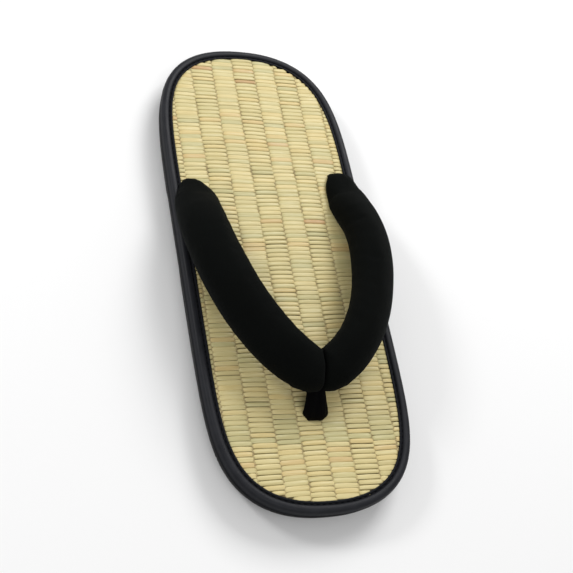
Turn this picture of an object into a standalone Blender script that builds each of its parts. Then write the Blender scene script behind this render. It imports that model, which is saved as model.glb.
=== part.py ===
# Zori sandal: rubber sole, woven rush footbed, edge binding, padded strap pair and toe post.
# The toe points to -Y, the heel to +Y, up is +Z, and the sole stands on z = 0. Lengths are metres.
# Every height and width below follows from the named sizes; the tables hold shares of them.

import math

import bpy

# Main sizes of the sandal
SOLE_LENGTH = 0.260
SOLE_WIDTH = 0.1027
FOOTBED_TOP = 0.0150
SOLE_HEIGHT = 0.0090
RIM = 0.0058
GAP = 0.0003

# Outline: how square the toe and the heel are, and how much narrower the toe is
TOE_FULLNESS = 7.5
HEEL_FULLNESS = 6.6
CORNER_POWER = 2.3
TOE_NARROWING = 0.022

# Points down each side, the fine steps they are picked from, and how strongly they crowd into corners
SIDE_POINTS = 44
OUTLINE_STEPS = 1600
CORNER_WEIGHT = 0.030

# Underside: toe spring, raised waist and tread bars
TOE_SPRING = 0.0045
SPRING_START = 0.165
SPRING_POWER = 1.2
WAIST_RISE = 0.0010
WAIST_CENTRE = 0.075
WAIST_HALF_LENGTH = 0.105
WAIST_FLAT_SHARE = 0.72
TREAD_DEPTH = 0.0014
TREAD_GROOVE = 0.0026
TREAD_MARGIN = 0.0095
FOREFOOT_GROOVES = 11
FOREFOOT_FROM = -0.405
FOREFOOT_TO = -0.060
HEEL_GROOVES = 7
HEEL_FROM = 0.205
HEEL_TO = 0.405

# Edge binding: how far it stands above the footbed
BINDING_CREST = 0.0008

# Straps: the rise of the centre line over the footbed, the broad and the thin half sizes, and, as shares of
# RIM inside the edge of the footbed, where the underside lifts to clear the binding
STRAP_RISE = 0.0178
STRAP_HALF_WIDTH = 0.0118
STRAP_HALF_THICKNESS = 0.0089
STRAP_POINTS = 22
STRAP_RINGS = 26
STRAP_SQUARENESS = 2.2
LIFT_FROM = 0.60
LIFT_TO = 0.15

# The gathered end of each strap goes down this far in from the edge of the footbed
TANG_INSET = 0.00642
TANG_HALF_WIDTH = 0.0043
TANG_DEPTH = 0.0036
SLOT_PLAY = 0.0004

# Toe post
POST_HALF_WIDTH = 0.0058
POST_HALF_THICKNESS = 0.0031
POST_POINTS = 18
POST_RINGS = 12
POST_PLAY = 0.00035
CUTTER_REACH = 0.0015

# Edges steeper than this many degrees are shaded sharp
SHARP_ANGLE = 40.0

BED_LENGTH = SOLE_LENGTH - 2 * RIM
BED_WIDTH = SOLE_WIDTH - 2 * RIM

# Side of the sole from the ground up: how far out (share of RIM), how high (share of the wall)
SOLE_WALL = [
    {"out": 0.36, "high": 0.000},
    {"out": 0.51, "high": 0.035},
    {"out": 0.59, "high": 0.120},
    {"out": 0.59, "high": 0.220},
    {"out": 0.67, "high": 0.255},
    {"out": 0.67, "high": 0.335},
    {"out": 0.59, "high": 0.370},
    {"out": 0.59, "high": 0.480},
    {"out": 0.67, "high": 0.515},
    {"out": 0.67, "high": 0.595},
    {"out": 0.59, "high": 0.630},
    {"out": 0.60, "high": 0.745},
    {"out": 0.90, "high": 0.800},
    {"out": 0.90, "high": 0.950},
    {"out": 0.85, "high": 1.000},
]

# Binding from its inner foot over the top to its outer foot: out (share of RIM), high (share of its height)
BINDING_SECTION = [
    {"out": 0.03, "high": 0.000},
    {"out": 0.03, "high": 0.860},
    {"out": 0.09, "high": 0.930},
    {"out": 0.22, "high": 0.985},
    {"out": 0.48, "high": 1.000},
    {"out": 0.73, "high": 0.955},
    {"out": 0.91, "high": 0.820},
    {"out": 1.00, "high": 0.600},
    {"out": 0.99, "high": 0.360},
    {"out": 0.91, "high": 0.140},
    {"out": 0.79, "high": 0.000},
]

# Footbed from its foot to its top: how far in (share of RIM), how high (share of its height)
BED_SECTION = [
    {"in": 0.03, "high": 0.000},
    {"in": 0.03, "high": 0.900},
    {"in": 0.10, "high": 0.965},
    {"in": 0.45, "high": 1.000},
]

# One strap from its anchor to the joint at the toe. Each row holds the centre line: out (share of half
# the sole's width), back (share of the sole's length), up (share of STRAP_RISE above the footbed), then
# the broad and the thin size (shares of the half sizes) and how far the outer edge is turned down.
STRAP_ROWS = [
    {"out": 0.768, "back": 0.1780, "up": 0.085, "broad": 0.38, "thin": 0.24, "turn": 0.0},
    {"out": 0.781, "back": 0.1675, "up": 0.090, "broad": 0.54, "thin": 0.38, "turn": 0.0},
    {"out": 0.798, "back": 0.1538, "up": 0.070, "broad": 0.71, "thin": 0.54, "turn": 0.0},
    {"out": 0.812, "back": 0.1361, "up": 0.055, "broad": 0.83, "thin": 0.70, "turn": 0.0},
    {"out": 0.816, "back": 0.1190, "up": 0.080, "broad": 0.91, "thin": 0.86, "turn": 1.0},
    {"out": 0.814, "back": 0.1029, "up": 0.149, "broad": 0.93, "thin": 0.97, "turn": 4.0},
    {"out": 0.815, "back": 0.0684, "up": 0.401, "broad": 0.97, "thin": 1.00, "turn": 13.0},
    {"out": 0.810, "back": 0.0299, "up": 0.612, "broad": 0.99, "thin": 1.01, "turn": 20.0},
    {"out": 0.785, "back": -0.0152, "up": 0.781, "broad": 1.00, "thin": 1.01, "turn": 26.0},
    {"out": 0.729, "back": -0.0675, "up": 0.908, "broad": 1.00, "thin": 0.99, "turn": 32.0},
    {"out": 0.646, "back": -0.1199, "up": 0.988, "broad": 1.00, "thin": 0.97, "turn": 36.0},
    {"out": 0.543, "back": -0.1650, "up": 1.018, "broad": 1.00, "thin": 0.95, "turn": 37.0},
    {"out": 0.422, "back": -0.2021, "up": 1.000, "broad": 0.98, "thin": 0.93, "turn": 36.0},
    {"out": 0.283, "back": -0.2324, "up": 0.936, "broad": 0.96, "thin": 0.91, "turn": 33.0},
    {"out": 0.126, "back": -0.2562, "up": 0.828, "broad": 0.91, "thin": 0.89, "turn": 30.0},
]

# The gathered end from its foot up: how far back (share of the strap's thin size there), up (share of
# TANG_DEPTH above the footbed), lean in degrees, and size (share of TANG_HALF_WIDTH and the thin size)
TANG_ROWS = [
    {"back": 0.85, "up": -1.00, "lean": 90.0, "size": 0.86},
    {"back": 0.85, "up": -0.25, "lean": 90.0, "size": 0.90},
    {"back": 0.65, "up": 0.30, "lean": 48.0, "size": 1.00},
]

# The joint in the middle: rows across the crease, the last one in the plane x = 0. `swing` turns the ring
# into that plane and `keep` is the least distance from it (share of STRAP_HALF_WIDTH)
JOINT_KEEP = 0.11
JOINT_ROWS = [
    {"out": 0.068, "back": -0.2606, "up": 0.80, "broad": 0.84, "thin": 0.86,
     "turn": 32.0, "swing": 0.52, "keep": 0.07},
    {"out": 0.028, "back": -0.2606, "up": 0.79, "broad": 0.79, "thin": 0.78,
     "turn": 34.0, "swing": 0.85, "keep": 0.03},
    {"out": 0.000, "back": -0.2600, "up": 0.78, "broad": 0.74, "thin": 0.66,
     "turn": 35.0, "swing": 1.00, "keep": 0.00},
]

# Toe post from its foot in the footbed to its head in the joint: back (share of the sole's length), up
# (share of STRAP_RISE above the footbed), wide and thick (shares of its half sizes)
POST_ROWS = [
    {"back": -0.3200, "up": -0.270, "wide": 0.90, "thick": 0.90},
    {"back": -0.3200, "up": -0.060, "wide": 0.94, "thick": 0.95},
    {"back": -0.3190, "up": 0.060, "wide": 1.00, "thick": 1.02},
    {"back": -0.3140, "up": 0.170, "wide": 0.96, "thick": 1.00},
    {"back": -0.3050, "up": 0.290, "wide": 0.90, "thick": 0.97},
    {"back": -0.2925, "up": 0.430, "wide": 0.86, "thick": 0.94},
    {"back": -0.2760, "up": 0.590, "wide": 0.83, "thick": 0.90},
]


def clear_scene():
    for obj in list(bpy.data.objects):
        bpy.data.objects.remove(obj)


def smooth_step(low, high, value):
    share = min(1.0, max(0.0, (value - low) / (high - low)))
    return share * share * (3 - 2 * share)


def bed_half_width(along):
    """Half width of the footbed. `along` runs from -1 at the toe to 1 at the heel."""
    power = TOE_FULLNESS if along < 0 else HEEL_FULLNESS
    round_off = max(0.0, 1 - abs(along) ** power) ** (1 / CORNER_POWER)
    narrowing = 1 - TOE_NARROWING * (1 - along) / 2
    return BED_WIDTH / 2 * narrowing * round_off


def half_outline():
    """Points of the right edge of the footbed from toe tip to heel tip, closer together at the corners."""
    dense = []
    for i in range(OUTLINE_STEPS + 1):
        along = -math.cos(math.pi * i / OUTLINE_STEPS)
        dense.append((bed_half_width(along), along * BED_LENGTH / 2))
    travel = [0.0]
    for i in range(1, len(dense)):
        step = math.dist(dense[i - 1], dense[i])
        before = dense[max(0, i - 2)]
        after = dense[min(len(dense) - 1, i + 1)]
        first = math.atan2(dense[i][1] - before[1], dense[i][0] - before[0])
        second = math.atan2(after[1] - dense[i - 1][1], after[0] - dense[i - 1][0])
        bend = abs(math.remainder(second - first, 2 * math.pi))
        travel.append(travel[-1] + step + CORNER_WEIGHT * bend / 2)
    points = []
    at = 0
    for i in range(SIDE_POINTS + 1):
        wanted = travel[-1] * i / SIDE_POINTS
        while at < len(travel) - 2 and travel[at + 1] < wanted:
            at += 1
        share = (wanted - travel[at]) / (travel[at + 1] - travel[at])
        x = dense[at][0] + share * (dense[at + 1][0] - dense[at][0])
        y = dense[at][1] + share * (dense[at + 1][1] - dense[at][1])
        points.append((x, y))
    points[0] = (0.0, -BED_LENGTH / 2)
    points[-1] = (0.0, BED_LENGTH / 2)
    return points


def ring_at(offset):
    """The whole outline moved outwards by `offset`, toe tip first, right side, heel tip, left side."""
    right = half_outline()
    moved = []
    for i, (x, y) in enumerate(right):
        before = right[i - 1] if i > 0 else (-right[1][0], right[1][1])
        after = right[i + 1] if i < len(right) - 1 else (-right[-2][0], right[-2][1])
        dx = after[0] - before[0]
        dy = after[1] - before[1]
        length = math.hypot(dx, dy)
        moved.append((x + offset * dy / length, y - offset * dx / length))
    left = [(-x, y) for x, y in reversed(moved[1:-1])]
    return moved + left


def ground_line(y):
    """Height of the underside: flat under heel and forefoot, raised at the waist and at the toe."""
    along = y / SOLE_LENGTH
    spring = max(0.0, (-along - SPRING_START) / (0.5 - SPRING_START)) ** SPRING_POWER
    away = abs(along - WAIST_CENTRE) / WAIST_HALF_LENGTH
    waist = 1 - smooth_step(WAIST_FLAT_SHARE, 1.0, away)
    return TOE_SPRING * spring + WAIST_RISE * waist


def ladder_faces(first, count, upwards):
    """Cap of a ring whose two sides face each other, as rungs from toe to heel."""
    half = count // 2
    faces = []
    for i in range(half):
        near_right = first + i
        far_right = first + i + 1
        near_left = first + (count - i) % count
        far_left = first + count - i - 1
        if i == 0:
            face = [near_right, far_right, far_left]
        elif i == half - 1:
            face = [near_left, near_right, far_right]
        else:
            face = [near_left, near_right, far_right, far_left]
        faces.append(face if upwards else face[::-1])
    return faces


def wall_faces(rings, count, closed=False):
    """Quads between rings that follow one another, each ring running the same way round."""
    faces = []
    pairs = rings if closed else rings - 1
    for level in range(pairs):
        low = level * count
        high = ((level + 1) % rings) * count
        for i in range(count):
            after = (i + 1) % count
            faces.append([low + i, low + after, high + after, high + i])
    return faces


def add_object(name, points, faces, smooth=True):
    mesh = bpy.data.meshes.new(name)
    mesh.from_pydata(points, [], faces)
    mesh.validate()
    mesh.update()
    obj = bpy.data.objects.new(name, mesh)
    bpy.context.scene.collection.objects.link(obj)
    if smooth:
        mesh.shade_smooth()
        mesh.set_sharp_from_angle(angle=math.radians(SHARP_ANGLE))
    return obj


def add_material(obj, name, colour, roughness):
    material = bpy.data.materials.new(name)
    material.use_nodes = True
    shader = material.node_tree.nodes["Principled BSDF"]
    shader.inputs["Base Color"].default_value = (*colour, 1.0)
    shader.inputs["Roughness"].default_value = roughness
    shader.inputs["Metallic"].default_value = 0.0
    obj.data.materials.append(material)


def hide_cutter(obj):
    obj.hide_render = True
    obj.display_type = "WIRE"


def cut(obj, cutter, name):
    modifier = obj.modifiers.new(name, "BOOLEAN")
    modifier.operation = "DIFFERENCE"
    modifier.solver = "EXACT"
    modifier.object = cutter


def box_points(low, high):
    return [
        (x, y, z)
        for z in (low[2], high[2])
        for x, y in ((low[0], low[1]), (high[0], low[1]), (high[0], high[1]), (low[0], high[1]))
    ]


BOX_FACES = [[3, 2, 1, 0], [4, 5, 6, 7], [0, 1, 5, 4], [1, 2, 6, 5], [2, 3, 7, 6], [3, 0, 4, 7]]


def add_boxes(name, boxes):
    points = []
    faces = []
    for low, high in boxes:
        start = len(points)
        points += box_points(low, high)
        faces += [[start + i for i in face] for face in BOX_FACES]
    return add_object(name, points, faces, smooth=False)


def build_sole():
    points = []
    for row in SOLE_WALL:
        for x, y in ring_at(row["out"] * RIM):
            ground = ground_line(y)
            points.append((x, y, ground + row["high"] * (SOLE_HEIGHT - ground)))
    count = 2 * SIDE_POINTS
    faces = wall_faces(len(SOLE_WALL), count)
    faces += ladder_faces(0, count, upwards=False)
    faces += ladder_faces((len(SOLE_WALL) - 1) * count, count, upwards=True)
    sole = add_object("sole", points, faces)
    add_material(sole, "black_rubber", (0.018, 0.018, 0.019), 0.62)
    cutter = add_boxes("tread_cutter", tread_grooves())
    hide_cutter(cutter)
    cut(sole, cutter, "tread")
    return sole


def tread_grooves():
    """Grooves across the forefoot and the heel, cut from below to an even depth."""
    boxes = []
    for amount, start, end in (
        (FOREFOOT_GROOVES, FOREFOOT_FROM, FOREFOOT_TO),
        (HEEL_GROOVES, HEEL_FROM, HEEL_TO),
    ):
        for i in range(amount):
            y = SOLE_LENGTH * (start + (end - start) * i / (amount - 1))
            reach = bed_half_width(2 * y / SOLE_LENGTH) - TREAD_MARGIN
            top = ground_line(y) + TREAD_DEPTH
            boxes.append(((-reach, y - TREAD_GROOVE / 2, -TREAD_DEPTH), (reach, y + TREAD_GROOVE / 2, top)))
    return boxes


def build_binding():
    foot = SOLE_HEIGHT + GAP
    height = FOOTBED_TOP + BINDING_CREST - foot
    points = []
    for row in BINDING_SECTION:
        for x, y in ring_at(row["out"] * RIM):
            points.append((x, y, foot + row["high"] * height))
    faces = wall_faces(len(BINDING_SECTION), 2 * SIDE_POINTS, closed=True)
    faces = [face[::-1] for face in faces]
    binding = add_object("edge_binding", points, faces)
    add_material(binding, "black_binding_tape", (0.022, 0.023, 0.026), 0.42)
    return binding


def build_bed():
    foot = SOLE_HEIGHT + GAP
    height = FOOTBED_TOP - foot
    points = []
    for row in BED_SECTION:
        for x, y in ring_at(-row["in"] * RIM):
            points.append((x, y, foot + row["high"] * height))
    count = 2 * SIDE_POINTS
    faces = wall_faces(len(BED_SECTION), count)
    faces += ladder_faces(0, count, upwards=False)
    faces += ladder_faces((len(BED_SECTION) - 1) * count, count, upwards=True)
    bed = add_object("rush_mat", points, faces)
    add_material(bed, "woven_rush", (0.62, 0.53, 0.27), 0.58)
    for name, points, faces in (strap_slot(1), strap_slot(-1), post_hole()):
        cutter = add_object(name, points, faces)
        hide_cutter(cutter)
        cut(bed, cutter, name)
    return bed


def oval(centre, broad_axis, thin_axis, broad, thin, count, squareness=2.0):
    """One ring of a sweep: an oval round `centre` in the plane of the two axes."""
    ring = []
    for i in range(count):
        angle = 2 * math.pi * i / count
        c = math.cos(angle)
        s = math.sin(angle)
        u = broad * math.copysign(abs(c) ** (2 / squareness), c)
        v = thin * math.copysign(abs(s) ** (2 / squareness), s)
        ring.append(tuple(centre[k] + u * broad_axis[k] + v * thin_axis[k] for k in range(3)))
    return ring


def sweep_faces(rings, count):
    faces = wall_faces(rings, count)
    faces.append(list(range(count))[::-1])
    faces.append(list(range((rings - 1) * count, rings * count)))
    return faces


def eased(rows, share):
    """The row at `share` of the way through the table, on a smooth curve through its rows."""
    place = share * (len(rows) - 1)
    at = min(int(place), len(rows) - 2)
    t = place - at
    found = {}
    for key in rows[0]:
        p1 = rows[at][key]
        p2 = rows[at + 1][key]
        p0 = rows[at - 1][key] if at > 0 else 2 * p1 - p2
        p3 = rows[at + 2][key] if at + 2 < len(rows) else 2 * p2 - p1
        slope1 = (p2 - p0) / 2
        slope2 = (p3 - p1) / 2
        t2 = t * t
        t3 = t2 * t
        near = (2 * t3 - 3 * t2 + 1) * p1 + (t3 - 2 * t2 + t) * slope1
        far = (3 * t2 - 2 * t3) * p2 + (t3 - t2) * slope2
        found[key] = near + far
    return found


def cross(a, b):
    return (a[1] * b[2] - a[2] * b[1], a[2] * b[0] - a[0] * b[2], a[0] * b[1] - a[1] * b[0])


def unit(a):
    length = math.sqrt(sum(k * k for k in a))
    return tuple(k / length for k in a)


def strap_point(row):
    return (
        row["out"] * SOLE_WIDTH / 2,
        row["back"] * SOLE_LENGTH,
        FOOTBED_TOP + row["up"] * STRAP_RISE,
    )


def rest_height(x):
    """Lowest height of a strap over the footbed or, further out, over the binding."""
    over_binding = smooth_step(BED_WIDTH / 2 - LIFT_FROM * RIM, BED_WIDTH / 2 - LIFT_TO * RIM, abs(x))
    return FOOTBED_TOP + GAP + over_binding * BINDING_CREST


def strap_ring(row, direction, keep):
    """One ring of the right strap: the broad axis points outwards and is turned down by `turn`."""
    least = keep * STRAP_HALF_WIDTH
    flat = unit(cross((0.0, 0.0, 1.0), direction))
    rise = unit(cross(direction, flat))
    turn = math.radians(row["turn"])
    broad_axis = tuple(flat[k] * math.cos(turn) - rise[k] * math.sin(turn) for k in range(3))
    thin_axis = tuple(flat[k] * math.sin(turn) + rise[k] * math.cos(turn) for k in range(3))
    ring = oval(
        strap_point(row),
        broad_axis,
        thin_axis,
        row["broad"] * STRAP_HALF_WIDTH,
        row["thin"] * STRAP_HALF_THICKNESS,
        STRAP_POINTS,
        STRAP_SQUARENESS,
    )
    return [(max(x, least), y, max(z, rest_height(x))) for x, y, z in ring]


def tang_rings():
    """The gathered end of the right strap, turning down into its slot in the footbed."""
    start = STRAP_ROWS[0]
    x = BED_WIDTH / 2 - TANG_INSET
    y = start["back"] * SOLE_LENGTH
    thin = start["thin"] * STRAP_HALF_THICKNESS
    rings = []
    for row in TANG_ROWS:
        angle = math.radians(row["lean"])
        centre = (x, y + row["back"] * thin, FOOTBED_TOP + row["up"] * TANG_DEPTH)
        thin_axis = (0.0, math.sin(angle), math.cos(angle))
        broad = row["size"] * TANG_HALF_WIDTH
        rings.append(oval(centre, (1.0, 0.0, 0.0), thin_axis, broad, row["size"] * thin, STRAP_POINTS))
    return rings


def right_strap_rings():
    rings = tang_rings()
    rows = [eased(STRAP_ROWS, i / STRAP_RINGS) for i in range(STRAP_RINGS + 1)]
    for i, row in enumerate(rows):
        before = strap_point(rows[max(0, i - 1)])
        after = strap_point(rows[min(STRAP_RINGS, i + 1)])
        direction = unit(tuple(after[k] - before[k] for k in range(3)))
        rings.append(strap_ring(row, direction, JOINT_KEEP))
    before = strap_point(rows[-2])
    after = strap_point(rows[-1])
    last = unit(tuple(after[k] - before[k] for k in range(3)))
    for row in JOINT_ROWS:
        across = (-1.0, 0.0, 0.0)
        swing = row["swing"]
        direction = unit(tuple(last[k] * (1 - swing) + across[k] * swing for k in range(3)))
        rings.append(strap_ring(row, direction, row["keep"]))
    return rings


def mirrored(ring):
    return [(-x, y, z) for x, y, z in ring]


def build_straps():
    right = right_strap_rings()
    left = [mirrored(ring) for ring in reversed(right[:-1])]
    rings = right + left
    points = [point for ring in rings for point in ring]
    faces = sweep_faces(len(rings), STRAP_POINTS)
    straps = add_object("strap_pair", points, faces)
    add_material(straps, "black_cloth", (0.012, 0.013, 0.013), 0.88)
    name, points, faces = post_body("joint_pocket", POST_PLAY)
    cutter = add_object(name, points, faces)
    hide_cutter(cutter)
    cut(straps, cutter, "pocket")
    return straps


def strap_slot(side):
    """Slot in the footbed that the gathered end of one strap goes into."""
    start = STRAP_ROWS[0]
    x = side * (BED_WIDTH / 2 - TANG_INSET)
    thin = start["thin"] * STRAP_HALF_THICKNESS
    y = start["back"] * SOLE_LENGTH + TANG_ROWS[0]["back"] * thin
    broad = TANG_HALF_WIDTH + SLOT_PLAY
    rings = []
    for z in (SOLE_HEIGHT - CUTTER_REACH, FOOTBED_TOP + CUTTER_REACH):
        rings.append(oval((x, y, z), (1.0, 0.0, 0.0), (0.0, 1.0, 0.0), broad, thin + SLOT_PLAY, POST_POINTS))
    points = [point for ring in rings for point in ring]
    name = "strap_slot_right" if side > 0 else "strap_slot_left"
    return name, points, sweep_faces(2, POST_POINTS)


def post_body(name, play):
    """The toe post, made larger all round by `play`."""
    rows = [eased(POST_ROWS, i / POST_RINGS) for i in range(POST_RINGS + 1)]
    centres = [(0.0, row["back"] * SOLE_LENGTH, FOOTBED_TOP + row["up"] * STRAP_RISE) for row in rows]
    rings = []
    for i, row in enumerate(rows):
        before = centres[max(0, i - 1)]
        after = centres[min(POST_RINGS, i + 1)]
        direction = unit(tuple(after[k] - before[k] for k in range(3)))
        thin_axis = cross(direction, (1.0, 0.0, 0.0))
        end_play = play if i == POST_RINGS else 0.0
        centre = tuple(centres[i][k] + end_play * direction[k] for k in range(3))
        wide = row["wide"] * POST_HALF_WIDTH + play
        thick = row["thick"] * POST_HALF_THICKNESS + play
        rings.append(oval(centre, (1.0, 0.0, 0.0), thin_axis, wide, thick, POST_POINTS, STRAP_SQUARENESS))
    points = [point for ring in rings for point in ring]
    return name, points, sweep_faces(len(rings), POST_POINTS)


def post_hole():
    """Hole in the footbed round the foot of the toe post."""
    foot = POST_ROWS[1]
    centre_y = foot["back"] * SOLE_LENGTH
    wide = POST_HALF_WIDTH + SLOT_PLAY
    thick = POST_HALF_THICKNESS + SLOT_PLAY
    rings = []
    for z in (SOLE_HEIGHT - CUTTER_REACH, FOOTBED_TOP + CUTTER_REACH):
        rings.append(oval((0.0, centre_y, z), (1.0, 0.0, 0.0), (0.0, 1.0, 0.0), wide, thick, POST_POINTS))
    points = [point for ring in rings for point in ring]
    return "toe_hole", points, sweep_faces(2, POST_POINTS)


def build_post():
    name, points, faces = post_body("toe_post", 0.0)
    post = add_object(name, points, faces)
    add_material(post, "black_toe_loop", (0.009, 0.009, 0.012), 0.55)
    return post


clear_scene()
build_sole()
build_binding()
build_bed()
build_straps()
build_post()
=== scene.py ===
# %% [markdown]
# A zori sandal, dressed over its CAD frame. A zori is a flat sandal: a rubber sole, a footbed of woven
# rush, a tape sewn round the edge, and two padded cloth straps that meet at a toe loop. Each cell below
# makes one of these pieces with mesh code or one finish with shader nodes. Lengths are metres, the toe
# points to -Y, the heel to +Y, and the sole stands on z = 0.

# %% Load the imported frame
import math

import bpy
import numpy as np
from mathutils import Matrix, Vector


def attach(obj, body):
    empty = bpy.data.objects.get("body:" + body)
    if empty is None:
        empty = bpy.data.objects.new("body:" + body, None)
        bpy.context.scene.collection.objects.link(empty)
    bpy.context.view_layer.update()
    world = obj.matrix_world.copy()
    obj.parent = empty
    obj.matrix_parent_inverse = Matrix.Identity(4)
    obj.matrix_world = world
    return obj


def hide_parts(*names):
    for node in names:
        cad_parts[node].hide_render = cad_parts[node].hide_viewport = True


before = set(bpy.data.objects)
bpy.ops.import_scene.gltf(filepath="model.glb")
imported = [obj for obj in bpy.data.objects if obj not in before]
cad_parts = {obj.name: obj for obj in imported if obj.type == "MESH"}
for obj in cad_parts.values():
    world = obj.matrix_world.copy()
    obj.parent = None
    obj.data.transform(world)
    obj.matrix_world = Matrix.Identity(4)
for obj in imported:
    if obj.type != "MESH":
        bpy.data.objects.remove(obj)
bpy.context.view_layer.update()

BODY = "root"
MM = 0.001
RIGHT, BACK, UP = (1.0, 0.0, 0.0), (0.0, 1.0, 0.0), (0.0, 0.0, 1.0)

# %% [markdown]
# The frame's solids follow from a few named sizes. The same sizes are written here again, so that every
# finer piece sits exactly where its solid is. Only the shapes that a maker would draw on paper are kept:
# the outline of the footbed, the height of each layer and the course of a strap.

# %% Sizes of the sandal
SOLE_LENGTH = 0.260
SOLE_WIDTH = 0.1027
RIM = 0.0058
FOOTBED_TOP = 0.0150
SOLE_HEIGHT = 0.0090
GAP = 0.0003
TOE_FULLNESS = 7.5
HEEL_FULLNESS = 6.6
CORNER_POWER = 2.3
TOE_NARROWING = 0.022
BED_LENGTH = SOLE_LENGTH - 2 * RIM
BED_WIDTH = SOLE_WIDTH - 2 * RIM


def footbed_half_width(along):
    """Half width of the footbed; `along` runs from -1 at the toe to 1 at the heel."""
    along = np.asarray(along, float)
    power = np.where(along < 0, TOE_FULLNESS, HEEL_FULLNESS)
    round_off = np.maximum(0.0, 1 - np.abs(along) ** power) ** (1 / CORNER_POWER)
    return BED_WIDTH / 2 * (1 - TOE_NARROWING * (1 - along) / 2) * round_off


def smooth_step(low, high, value):
    share = np.clip((np.asarray(value, float) - low) / (high - low), 0.0, 1.0)
    return share * share * (3 - 2 * share)


print("footbed", round(BED_LENGTH / MM, 1), "by", round(BED_WIDTH / MM, 1), "mm")

# %% [markdown]
# The sole, the tape and the mat share one outline, so it is worked out once. The curve is sampled very
# finely, its length is measured, and then points are picked at even steps along it. Even steps matter for
# the tape and its stitches, which would otherwise bunch up in the corners.

# %% The outline, walked at even steps
DENSE_STEPS = 6000
PROBE = 0.0004


def outline_walk():
    """The outline from the toe tip along the right side and back on the left, with its running length."""
    along = -np.cos(np.linspace(0, math.pi, DENSE_STEPS + 1))
    right = np.column_stack([footbed_half_width(along), along * BED_LENGTH / 2])
    left = right[::-1] * [-1, 1]
    loop = np.vstack([right, left[1:]])
    travel = np.concatenate([[0.0], np.cumsum(np.linalg.norm(np.diff(loop, axis=0), axis=1))])
    return loop, travel


OUTLINE, TRAVEL = outline_walk()
EDGE_LENGTH = TRAVEL[-1]


def unit(vectors):
    return vectors / np.linalg.norm(vectors, axis=-1, keepdims=True)


def outline_points(distances):
    distances = np.mod(distances, EDGE_LENGTH)
    return np.column_stack([np.interp(distances, TRAVEL, OUTLINE[:, k]) for k in (0, 1)])


def edge_places(distances):
    """Points of the outline at these distances from the toe tip, and the outward direction at each."""
    distances = np.mod(distances, EDGE_LENGTH)
    forward = unit(outline_points(distances + PROBE) - outline_points(distances - PROBE))
    return outline_points(distances), np.column_stack([forward[:, 1], -forward[:, 0]])


print("outline", round(EDGE_LENGTH / MM, 1), "mm round")

# %% [markdown]
# Most pieces are grids of points wrapped into tubes or rings. These helpers turn arrays of points straight
# into meshes, which is much quicker than adding faces one at a time.

# %% Helpers that make meshes


def mesh_from(name, points, polygons):
    """A mesh from an array of points and a list of face arrays, each array holding faces of one size."""
    mesh = bpy.data.meshes.new(name)
    polygons = [np.asarray(faces, np.int64) for faces in polygons if len(faces)]
    loops = np.concatenate([faces.ravel() for faces in polygons])
    sizes = np.concatenate([np.full(len(faces), faces.shape[1]) for faces in polygons])
    starts = np.concatenate([[0], np.cumsum(sizes)[:-1]])
    mesh.vertices.add(len(points))
    mesh.vertices.foreach_set("co", np.asarray(points, np.float32).ravel())
    mesh.loops.add(len(loops))
    mesh.loops.foreach_set("vertex_index", loops.astype(np.int32))
    mesh.polygons.add(len(sizes))
    mesh.polygons.foreach_set("loop_start", starts.astype(np.int32))
    mesh.update(calc_edges=True)
    mesh.validate()
    return mesh


def wrap(rings, count, around=True, along=False):
    """Quads over a grid of `rings` rings with `count` points each; either way round may be closed."""
    i = np.arange(rings if along else rings - 1)[:, None] * count
    j = np.arange(count if around else count - 1)[None, :]
    after = (j + 1) % count
    above = (i + count) % (rings * count)
    return np.stack([i + j, i + after, above + after, above + j], axis=-1).reshape(-1, 4)


def end_caps(rings, count):
    first = np.arange(count)[None, ::-1]
    last = np.arange((rings - 1) * count, rings * count)[None, :]
    return np.vstack([first, last])


def even_angles(count):
    return np.linspace(0, 2 * math.pi, count, endpoint=False)


def oval(angles, squareness):
    """Across and up on an oval of half size 1; above 2 the squareness fills out its corners."""
    c, s = np.cos(angles), np.sin(angles)
    return np.sign(c) * np.abs(c) ** (2 / squareness), np.sign(s) * np.abs(s) ** (2 / squareness)


def oval_rings(centres, broad_axes, thin_axes, broads, thins, angles, squareness=2.0):
    """One ring round each centre; axes and half sizes may be one for all or one for each ring."""
    across, up = oval(angles, squareness)
    broads, thins = (np.broadcast_to(sizes, len(centres)) for sizes in (broads, thins))
    broad_axes, thin_axes = (np.reshape(axes, (-1, 1, 3)) for axes in (broad_axes, thin_axes))
    broad = np.multiply.outer(broads, across)[:, :, None] * broad_axes
    return centres[:, None, :] + broad + np.multiply.outer(thins, up)[:, :, None] * thin_axes


def tubes_mesh(name, tubes, flipped=False):
    """One mesh from many closed tubes, each an array of rings of points."""
    points, faces, caps, total = [], [], [], 0
    for rings in tubes:
        steps, count = rings.shape[:2]
        points.append(rings.reshape(-1, 3))
        faces.append(wrap(steps, count) + total)
        caps.append(end_caps(steps, count) + total)
        total += steps * count
    turn = -1 if flipped else 1
    return mesh_from(name, np.vstack(points), [np.vstack(faces)[:, ::turn], np.vstack(caps)[:, ::turn]])


def put_on(mesh, attribute, values):
    """Stores one number or one vector per point, which the material can read by name."""
    values = np.asarray(values, np.float32)
    kind = "FLOAT" if values.ndim == 1 else "FLOAT_VECTOR"
    field = "value" if values.ndim == 1 else "vector"
    mesh.attributes.new(attribute, kind, "POINT").data.foreach_set(field, values.ravel())


def add_piece(name, mesh, material, slot, *nodes):
    """Puts a finished mesh in the scene as a piece of the sandal that stands for the named solids."""
    piece = bpy.data.objects.new(name, mesh)
    bpy.context.scene.collection.objects.link(piece)
    mesh.materials.append(material)
    mesh.shade_smooth()
    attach(piece, BODY)
    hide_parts(*nodes)
    print(name, sum(len(p.vertices) - 2 for p in mesh.polygons), "triangles")
    return piece


# %% [markdown]
# The camera stands where the photograph's camera stood. Its place was found from the lines of the weave,
# which are straight and square on the real mat. It is only turned towards this one sandal and zoomed in,
# which keeps the viewing angle and the perspective.

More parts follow.
